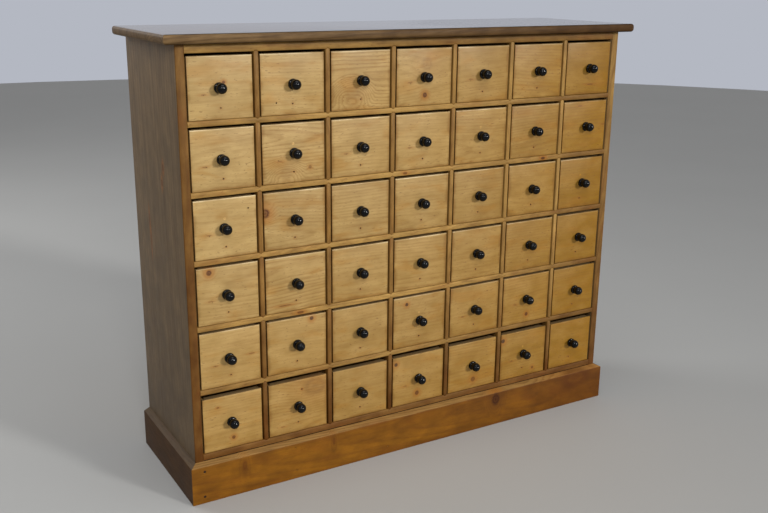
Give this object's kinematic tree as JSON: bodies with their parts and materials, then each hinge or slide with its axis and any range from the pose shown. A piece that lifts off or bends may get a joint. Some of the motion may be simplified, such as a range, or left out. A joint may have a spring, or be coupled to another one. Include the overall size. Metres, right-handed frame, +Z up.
{
  "type": "seed storage cabinet",
  "caption": "Floor-standing pine storage cabinet with a grid of small square drawers, black ball knobs, an overhanging top and a mitred plinth.",
  "frame": {"origin": "middle of the overall footprint, on the floor", "axes": "+Z up, drawers open towards -Y, +X to the right as seen from the front"},
  "size_m": [1.26, 0.3684, 1.0545],
  "materials": {
    "pale_pine_drawers": "waxed pine, pale, with black lacquered wooden knobs",
    "brown_pine_frame": "waxed pine, brown, eased edges",
    "dark_pine_sides": "stained pine, dark brown, satin",
    "waxed_pine_top": "waxed pine, polished",
    "amber_pine_plinth": "waxed pine, orange brown, satin",
    "raw_pine_back": "unfinished pine, matt"
  },
  "bodies": {
    "carcass": {"top_board": "waxed_pine_top", "side_panel_left": "dark_pine_sides", "side_panel_right": "dark_pine_sides", "bottom_board": "brown_pine_frame", "top_rail_front": "brown_pine_frame", "top_rail_back": "brown_pine_frame", "shelf_1": "brown_pine_frame", "shelf_2": "brown_pine_frame", "shelf_3": "brown_pine_frame", "shelf_4": "brown_pine_frame", "shelf_5": "brown_pine_frame", "dividers": "brown_pine_frame", "back_boards": "raw_pine_back", "plinth_front": "amber_pine_plinth", "plinth_left": "amber_pine_plinth", "plinth_right": "amber_pine_plinth", "plinth_back": "raw_pine_back", "glue_blocks": "raw_pine_back"},
    "drawer_r1_c1": {"drawer_r1_c1": "pale_pine_drawers"},
    "drawer_r1_c2": {"drawer_r1_c2": "pale_pine_drawers"},
    "drawer_r1_c3": {"drawer_r1_c3": "pale_pine_drawers"},
    "drawer_r1_c4": {"drawer_r1_c4": "pale_pine_drawers"},
    "drawer_r1_c5": {"drawer_r1_c5": "pale_pine_drawers"},
    "drawer_r1_c6": {"drawer_r1_c6": "pale_pine_drawers"},
    "drawer_r1_c7": {"drawer_r1_c7": "pale_pine_drawers"},
    "drawer_r2_c1": {"drawer_r2_c1": "pale_pine_drawers"},
    "drawer_r2_c2": {"drawer_r2_c2": "pale_pine_drawers"},
    "drawer_r2_c3": {"drawer_r2_c3": "pale_pine_drawers"},
    "drawer_r2_c4": {"drawer_r2_c4": "pale_pine_drawers"},
    "drawer_r2_c5": {"drawer_r2_c5": "pale_pine_drawers"},
    "drawer_r2_c6": {"drawer_r2_c6": "pale_pine_drawers"},
    "drawer_r2_c7": {"drawer_r2_c7": "pale_pine_drawers"},
    "drawer_r3_c1": {"drawer_r3_c1": "pale_pine_drawers"},
    "drawer_r3_c2": {"drawer_r3_c2": "pale_pine_drawers"},
    "drawer_r3_c3": {"drawer_r3_c3": "pale_pine_drawers"},
    "drawer_r3_c4": {"drawer_r3_c4": "pale_pine_drawers"},
    "drawer_r3_c5": {"drawer_r3_c5": "pale_pine_drawers"},
    "drawer_r3_c6": {"drawer_r3_c6": "pale_pine_drawers"},
    "drawer_r3_c7": {"drawer_r3_c7": "pale_pine_drawers"},
    "drawer_r4_c1": {"drawer_r4_c1": "pale_pine_drawers"},
    "drawer_r4_c2": {"drawer_r4_c2": "pale_pine_drawers"},
    "drawer_r4_c3": {"drawer_r4_c3": "pale_pine_drawers"},
    "drawer_r4_c4": {"drawer_r4_c4": "pale_pine_drawers"},
    "drawer_r4_c5": {"drawer_r4_c5": "pale_pine_drawers"},
    "drawer_r4_c6": {"drawer_r4_c6": "pale_pine_drawers"},
    "drawer_r4_c7": {"drawer_r4_c7": "pale_pine_drawers"},
    "drawer_r5_c1": {"drawer_r5_c1": "pale_pine_drawers"},
    "drawer_r5_c2": {"drawer_r5_c2": "pale_pine_drawers"},
    "drawer_r5_c3": {"drawer_r5_c3": "pale_pine_drawers"},
    "drawer_r5_c4": {"drawer_r5_c4": "pale_pine_drawers"},
    "drawer_r5_c5": {"drawer_r5_c5": "pale_pine_drawers"},
    "drawer_r5_c6": {"drawer_r5_c6": "pale_pine_drawers"},
    "drawer_r5_c7": {"drawer_r5_c7": "pale_pine_drawers"},
    "drawer_r6_c1": {"drawer_r6_c1": "pale_pine_drawers"},
    "drawer_r6_c2": {"drawer_r6_c2": "pale_pine_drawers"},
    "drawer_r6_c3": {"drawer_r6_c3": "pale_pine_drawers"},
    "drawer_r6_c4": {"drawer_r6_c4": "pale_pine_drawers"},
    "drawer_r6_c5": {"drawer_r6_c5": "pale_pine_drawers"},
    "drawer_r6_c6": {"drawer_r6_c6": "pale_pine_drawers"},
    "drawer_r6_c7": {"drawer_r6_c7": "pale_pine_drawers"}
  },
  "joints": [
    {"name": "drawer_r1_c1_slide", "type": "slide", "parent": "carcass", "child": "drawer_r1_c1", "axis": [0, -1, 0], "range_m": [0, 0.23]},
    {"name": "drawer_r1_c2_slide", "type": "slide", "parent": "carcass", "child": "drawer_r1_c2", "axis": [0, -1, 0], "range_m": [0, 0.23]},
    {"name": "drawer_r1_c3_slide", "type": "slide", "parent": "carcass", "child": "drawer_r1_c3", "axis": [0, -1, 0], "range_m": [0, 0.23]},
    {"name": "drawer_r1_c4_slide", "type": "slide", "parent": "carcass", "child": "drawer_r1_c4", "axis": [0, -1, 0], "range_m": [0, 0.23]},
    {"name": "drawer_r1_c5_slide", "type": "slide", "parent": "carcass", "child": "drawer_r1_c5", "axis": [0, -1, 0], "range_m": [0, 0.23]},
    {"name": "drawer_r1_c6_slide", "type": "slide", "parent": "carcass", "child": "drawer_r1_c6", "axis": [0, -1, 0], "range_m": [0, 0.23]},
    {"name": "drawer_r1_c7_slide", "type": "slide", "parent": "carcass", "child": "drawer_r1_c7", "axis": [0, -1, 0], "range_m": [0, 0.23]},
    {"name": "drawer_r2_c1_slide", "type": "slide", "parent": "carcass", "child": "drawer_r2_c1", "axis": [0, -1, 0], "range_m": [0, 0.23]},
    {"name": "drawer_r2_c2_slide", "type": "slide", "parent": "carcass", "child": "drawer_r2_c2", "axis": [0, -1, 0], "range_m": [0, 0.23]},
    {"name": "drawer_r2_c3_slide", "type": "slide", "parent": "carcass", "child": "drawer_r2_c3", "axis": [0, -1, 0], "range_m": [0, 0.23]},
    {"name": "drawer_r2_c4_slide", "type": "slide", "parent": "carcass", "child": "drawer_r2_c4", "axis": [0, -1, 0], "range_m": [0, 0.23]},
    {"name": "drawer_r2_c5_slide", "type": "slide", "parent": "carcass", "child": "drawer_r2_c5", "axis": [0, -1, 0], "range_m": [0, 0.23]},
    {"name": "drawer_r2_c6_slide", "type": "slide", "parent": "carcass", "child": "drawer_r2_c6", "axis": [0, -1, 0], "range_m": [0, 0.23]},
    {"name": "drawer_r2_c7_slide", "type": "slide", "parent": "carcass", "child": "drawer_r2_c7", "axis": [0, -1, 0], "range_m": [0, 0.23]},
    {"name": "drawer_r3_c1_slide", "type": "slide", "parent": "carcass", "child": "drawer_r3_c1", "axis": [0, -1, 0], "range_m": [0, 0.23]},
    {"name": "drawer_r3_c2_slide", "type": "slide", "parent": "carcass", "child": "drawer_r3_c2", "axis": [0, -1, 0], "range_m": [0, 0.23]},
    {"name": "drawer_r3_c3_slide", "type": "slide", "parent": "carcass", "child": "drawer_r3_c3", "axis": [0, -1, 0], "range_m": [0, 0.23]},
    {"name": "drawer_r3_c4_slide", "type": "slide", "parent": "carcass", "child": "drawer_r3_c4", "axis": [0, -1, 0], "range_m": [0, 0.23]},
    {"name": "drawer_r3_c5_slide", "type": "slide", "parent": "carcass", "child": "drawer_r3_c5", "axis": [0, -1, 0], "range_m": [0, 0.23]},
    {"name": "drawer_r3_c6_slide", "type": "slide", "parent": "carcass", "child": "drawer_r3_c6", "axis": [0, -1, 0], "range_m": [0, 0.23]},
    {"name": "drawer_r3_c7_slide", "type": "slide", "parent": "carcass", "child": "drawer_r3_c7", "axis": [0, -1, 0], "range_m": [0, 0.23]},
    {"name": "drawer_r4_c1_slide", "type": "slide", "parent": "carcass", "child": "drawer_r4_c1", "axis": [0, -1, 0], "range_m": [0, 0.23]},
    {"name": "drawer_r4_c2_slide", "type": "slide", "parent": "carcass", "child": "drawer_r4_c2", "axis": [0, -1, 0], "range_m": [0, 0.23]},
    {"name": "drawer_r4_c3_slide", "type": "slide", "parent": "carcass", "child": "drawer_r4_c3", "axis": [0, -1, 0], "range_m": [0, 0.23]},
    {"name": "drawer_r4_c4_slide", "type": "slide", "parent": "carcass", "child": "drawer_r4_c4", "axis": [0, -1, 0], "range_m": [0, 0.23]},
    {"name": "drawer_r4_c5_slide", "type": "slide", "parent": "carcass", "child": "drawer_r4_c5", "axis": [0, -1, 0], "range_m": [0, 0.23]},
    {"name": "drawer_r4_c6_slide", "type": "slide", "parent": "carcass", "child": "drawer_r4_c6", "axis": [0, -1, 0], "range_m": [0, 0.23]},
    {"name": "drawer_r4_c7_slide", "type": "slide", "parent": "carcass", "child": "drawer_r4_c7", "axis": [0, -1, 0], "range_m": [0, 0.23]},
    {"name": "drawer_r5_c1_slide", "type": "slide", "parent": "carcass", "child": "drawer_r5_c1", "axis": [0, -1, 0], "range_m": [0, 0.23]},
    {"name": "drawer_r5_c2_slide", "type": "slide", "parent": "carcass", "child": "drawer_r5_c2", "axis": [0, -1, 0], "range_m": [0, 0.23]},
    {"name": "drawer_r5_c3_slide", "type": "slide", "parent": "carcass", "child": "drawer_r5_c3", "axis": [0, -1, 0], "range_m": [0, 0.23]},
    {"name": "drawer_r5_c4_slide", "type": "slide", "parent": "carcass", "child": "drawer_r5_c4", "axis": [0, -1, 0], "range_m": [0, 0.23]},
    {"name": "drawer_r5_c5_slide", "type": "slide", "parent": "carcass", "child": "drawer_r5_c5", "axis": [0, -1, 0], "range_m": [0, 0.23]},
    {"name": "drawer_r5_c6_slide", "type": "slide", "parent": "carcass", "child": "drawer_r5_c6", "axis": [0, -1, 0], "range_m": [0, 0.23]},
    {"name": "drawer_r5_c7_slide", "type": "slide", "parent": "carcass", "child": "drawer_r5_c7", "axis": [0, -1, 0], "range_m": [0, 0.23]},
    {"name": "drawer_r6_c1_slide", "type": "slide", "parent": "carcass", "child": "drawer_r6_c1", "axis": [0, -1, 0], "range_m": [0, 0.23]},
    {"name": "drawer_r6_c2_slide", "type": "slide", "parent": "carcass", "child": "drawer_r6_c2", "axis": [0, -1, 0], "range_m": [0, 0.23]},
    {"name": "drawer_r6_c3_slide", "type": "slide", "parent": "carcass", "child": "drawer_r6_c3", "axis": [0, -1, 0], "range_m": [0, 0.23]},
    {"name": "drawer_r6_c4_slide", "type": "slide", "parent": "carcass", "child": "drawer_r6_c4", "axis": [0, -1, 0], "range_m": [0, 0.23]},
    {"name": "drawer_r6_c5_slide", "type": "slide", "parent": "carcass", "child": "drawer_r6_c5", "axis": [0, -1, 0], "range_m": [0, 0.23]},
    {"name": "drawer_r6_c6_slide", "type": "slide", "parent": "carcass", "child": "drawer_r6_c6", "axis": [0, -1, 0], "range_m": [0, 0.23]},
    {"name": "drawer_r6_c7_slide", "type": "slide", "parent": "carcass", "child": "drawer_r6_c7", "axis": [0, -1, 0], "range_m": [0, 0.23]}
  ]
}
